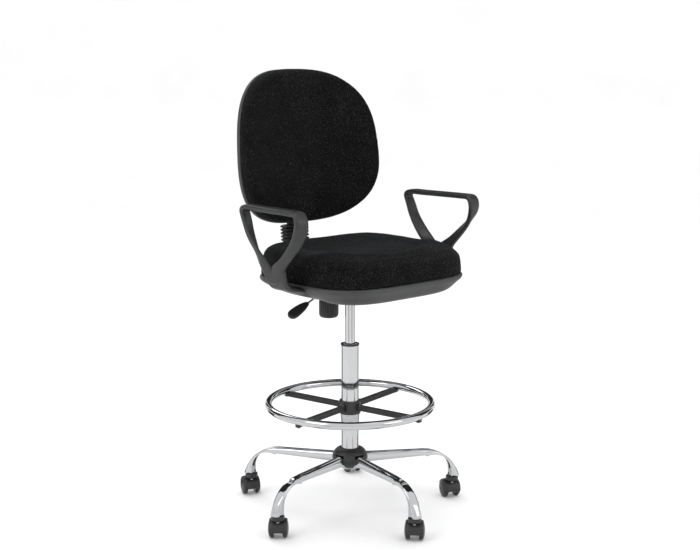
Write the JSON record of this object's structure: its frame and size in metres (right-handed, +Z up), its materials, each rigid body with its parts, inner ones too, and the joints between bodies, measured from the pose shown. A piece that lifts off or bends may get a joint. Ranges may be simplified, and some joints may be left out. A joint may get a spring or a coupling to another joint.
{
  "type": "drafting chair",
  "caption": "Drafting chair: padded seat and high curved back on a gas lift, with loop arms, a foot ring round the column and a chromed star base on twin-wheel casters.",
  "frame": {"origin": "on the column axis at floor level", "axes": "+Z up, the chair faces -Y, +X towards the sitter's left hand"},
  "size_m": [0.6688, 0.6534, 1.2422],
  "materials": {
    "chrome": "polished",
    "bright_steel": "satin",
    "satin_metal": "satin",
    "black_plastic": "fine satin",
    "white_plastic": "matte",
    "black_steel": "powder coated",
    "black_rubber": "matte",
    "plywood": "raw",
    "grey_plastic": "matte",
    "arm_plastic": "matte",
    "black_fabric": "woven",
    "wheel_nylon": "satin"
  },
  "bodies": {
    "base": {"base_star": "chrome", "stem_sleeves": "bright_steel", "hub_cover": "black_plastic", "column_tube": "chrome", "column_cap": "black_plastic", "guide_bush": "white_plastic", "thrust_bearing": "bright_steel"},
    "foot_ring": {"foot_ring": "chrome", "foot_ring_hub": "black_plastic", "ring_spokes": "black_plastic", "ring_screws": "bright_steel", "ring_collar": "satin_metal"},
    "piston": {"piston_rod": "bright_steel", "retaining_clip": "bright_steel"},
    "seat_unit": {"gas_cylinder": "chrome", "seat_mechanism": "black_steel", "back_pivot_pin": "bright_steel", "tension_spring": "black_steel", "seat_board": "plywood", "seat_shell": "grey_plastic", "seat_cushion": "black_fabric", "seat_bolts": "bright_steel", "arm_left": "arm_plastic", "arm_right": "arm_plastic", "tension_bolt": "bright_steel"},
    "release_pin": {"release_pin": "bright_steel"},
    "height_lever": {"height_lever": "bright_steel", "lever_paddle": "black_plastic"},
    "tension_knob": {"tension_knob": "black_plastic"},
    "back_bar": {"back_bar": "black_steel", "bellows": "black_rubber"},
    "backrest": {"back_bracket": "black_steel", "back_board": "plywood", "back_shell": "grey_plastic", "back_cushion": "black_fabric"},
    "caster_1": {"caster_1_stem": "bright_steel", "caster_1_hood": "black_plastic", "caster_1_axle": "bright_steel"},
    "caster_1_wheel_left": {"caster_1_wheel_left": "wheel_nylon"},
    "caster_1_wheel_right": {"caster_1_wheel_right": "wheel_nylon"},
    "caster_2": {"caster_2_stem": "bright_steel", "caster_2_hood": "black_plastic", "caster_2_axle": "bright_steel"},
    "caster_2_wheel_left": {"caster_2_wheel_left": "wheel_nylon"},
    "caster_2_wheel_right": {"caster_2_wheel_right": "wheel_nylon"},
    "caster_3": {"caster_3_stem": "bright_steel", "caster_3_hood": "black_plastic", "caster_3_axle": "bright_steel"},
    "caster_3_wheel_left": {"caster_3_wheel_left": "wheel_nylon"},
    "caster_3_wheel_right": {"caster_3_wheel_right": "wheel_nylon"},
    "caster_4": {"caster_4_stem": "bright_steel", "caster_4_hood": "black_plastic", "caster_4_axle": "bright_steel"},
    "caster_4_wheel_left": {"caster_4_wheel_left": "wheel_nylon"},
    "caster_4_wheel_right": {"caster_4_wheel_right": "wheel_nylon"},
    "caster_5": {"caster_5_stem": "bright_steel", "caster_5_hood": "black_plastic", "caster_5_axle": "bright_steel"},
    "caster_5_wheel_left": {"caster_5_wheel_left": "wheel_nylon"},
    "caster_5_wheel_right": {"caster_5_wheel_right": "wheel_nylon"}
  },
  "joints": [
    {"name": "ring_height", "type": "slide", "parent": "base", "child": "foot_ring", "axis": [0, 0, 1], "range_m": [-0.065, 0.1]},
    {"name": "seat_swivel", "type": "hinge", "parent": "base", "child": "piston", "pos_m": [0, 0, 0.14], "axis": [0, 0, 1], "continuous": true},
    {"name": "seat_lift", "type": "slide", "parent": "piston", "child": "seat_unit", "axis": [0, 0, 1], "range_m": [-0.1, 0.15]},
    {"name": "height_lever", "type": "hinge", "parent": "seat_unit", "child": "height_lever", "pos_m": [-0.033, 0, 0.63], "axis": [0, 1, 0], "range_deg": [0, 4.3], "stiffness_Nm_per_rad": 2, "springref_deg": -20.05},
    {"name": "release_pin", "type": "slide", "parent": "seat_unit", "child": "release_pin", "axis": [0, 0, 1], "range_m": [-0.0035, 0]},
    {"name": "tension_knob", "type": "hinge", "parent": "seat_unit", "child": "tension_knob", "pos_m": [0, 0.089, 0.56], "axis": [0, 0, 1], "continuous": true},
    {"name": "back_rake", "type": "hinge", "parent": "seat_unit", "child": "back_bar", "pos_m": [0, 0.062, 0.616], "axis": [-1, 0, 0], "range_deg": [0, 15], "stiffness_Nm_per_rad": 110, "springref_deg": -20.05, "deforming": ["tension_spring"]},
    {"name": "back_height", "type": "slide", "parent": "back_bar", "child": "backrest", "axis": [0, 0.0767, 0.9971], "range_m": [-0.02, 0.05], "deforming": ["bellows"]},
    {"name": "caster_1_swivel", "type": "hinge", "parent": "base", "child": "caster_1", "pos_m": [0.2185, 0.2185, 0.06], "axis": [0, 0, 1], "continuous": true},
    {"name": "caster_1_roll_left", "type": "hinge", "parent": "caster_1", "child": "caster_1_wheel_left", "pos_m": [0.22263, 0.23292, 0.025], "axis": [-0.9613, 0.2756, 0], "continuous": true},
    {"name": "caster_1_roll_right", "type": "hinge", "parent": "caster_1", "child": "caster_1_wheel_right", "pos_m": [0.22263, 0.23292, 0.025], "axis": [-0.9613, 0.2756, 0], "continuous": true},
    {"name": "caster_2_swivel", "type": "hinge", "parent": "base", "child": "caster_2", "pos_m": [-0.14028, 0.27532, 0.06], "axis": [0, 0, 1], "continuous": true},
    {"name": "caster_2_roll_left", "type": "hinge", "parent": "caster_2", "child": "caster_2_wheel_left", "pos_m": [-0.13442, 0.28913, 0.025], "axis": [-0.9205, 0.3907, 0], "continuous": true},
    {"name": "caster_2_roll_right", "type": "hinge", "parent": "caster_2", "child": "caster_2_wheel_right", "pos_m": [-0.13442, 0.28913, 0.025], "axis": [-0.9205, 0.3907, 0], "continuous": true},
    {"name": "caster_3_swivel", "type": "hinge", "parent": "base", "child": "caster_3", "pos_m": [-0.3052, -0.04834, 0.06], "axis": [0, 0, 1], "continuous": true},
    {"name": "caster_3_roll_left", "type": "hinge", "parent": "caster_3", "child": "caster_3_wheel_left", "pos_m": [-0.29497, -0.03737, 0.025], "axis": [-0.7314, 0.682, 0], "continuous": true},
    {"name": "caster_3_roll_right", "type": "hinge", "parent": "caster_3", "child": "caster_3_wheel_right", "pos_m": [-0.29497, -0.03737, 0.025], "axis": [-0.7314, 0.682, 0], "continuous": true},
    {"name": "caster_4_swivel", "type": "hinge", "parent": "base", "child": "caster_4", "pos_m": [-0.04834, -0.3052, 0.06], "axis": [0, 0, 1], "continuous": true},
    {"name": "caster_4_roll_left", "type": "hinge", "parent": "caster_4", "child": "caster_4_wheel_left", "pos_m": [-0.03737, -0.29497, 0.025], "axis": [-0.682, 0.7314, 0], "continuous": true},
    {"name": "caster_4_roll_right", "type": "hinge", "parent": "caster_4", "child": "caster_4_wheel_right", "pos_m": [-0.03737, -0.29497, 0.025], "axis": [-0.682, 0.7314, 0], "continuous": true},
    {"name": "caster_5_swivel", "type": "hinge", "parent": "base", "child": "caster_5", "pos_m": [0.27532, -0.14028, 0.06], "axis": [0, 0, 1], "continuous": true},
    {"name": "caster_5_roll_left", "type": "hinge", "parent": "caster_5", "child": "caster_5_wheel_left", "pos_m": [0.28118, -0.12648, 0.025], "axis": [-0.9205, 0.3907, 0], "continuous": true},
    {"name": "caster_5_roll_right", "type": "hinge", "parent": "caster_5", "child": "caster_5_wheel_right", "pos_m": [0.28118, -0.12648, 0.025], "axis": [-0.9205, 0.3907, 0], "continuous": true}
  ],
  "couplings": [
    {"joint": "release_pin", "follows": "height_lever", "m_per_rad": -0.038}
  ]
}
